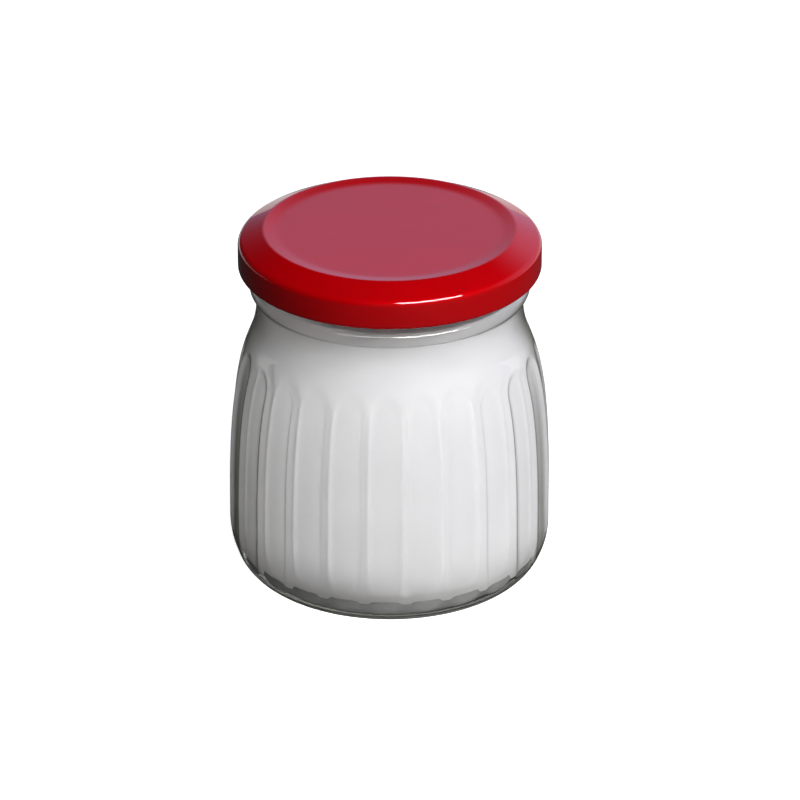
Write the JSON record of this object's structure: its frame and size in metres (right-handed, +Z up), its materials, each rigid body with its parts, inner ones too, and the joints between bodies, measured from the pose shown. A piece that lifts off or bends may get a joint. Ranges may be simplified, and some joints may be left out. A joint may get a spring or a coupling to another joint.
{
  "type": "glass pudding bottle",
  "caption": "Squat fluted glass bottle filled with white pudding and shut by a round red twist-off metal lid.",
  "frame": {"origin": "middle of the base, on the surface that the bottle stands on", "axes": "+Z up along the bottle's axis, -Y towards the viewer of the picture, +X to the viewer's right"},
  "size_m": [0.0716, 0.0716, 0.0812],
  "materials": {
    "clear_glass": "smooth clear pressed glass with a faint grey-green tint",
    "white_pudding": "smooth opaque white pudding",
    "red_lacquer": "glossy red lacquer on tin-plated sheet"
  },
  "bodies": {
    "root": {"bottle": "clear_glass", "pudding": "white_pudding", "lid": "red_lacquer"}
  },
  "joints": []
}
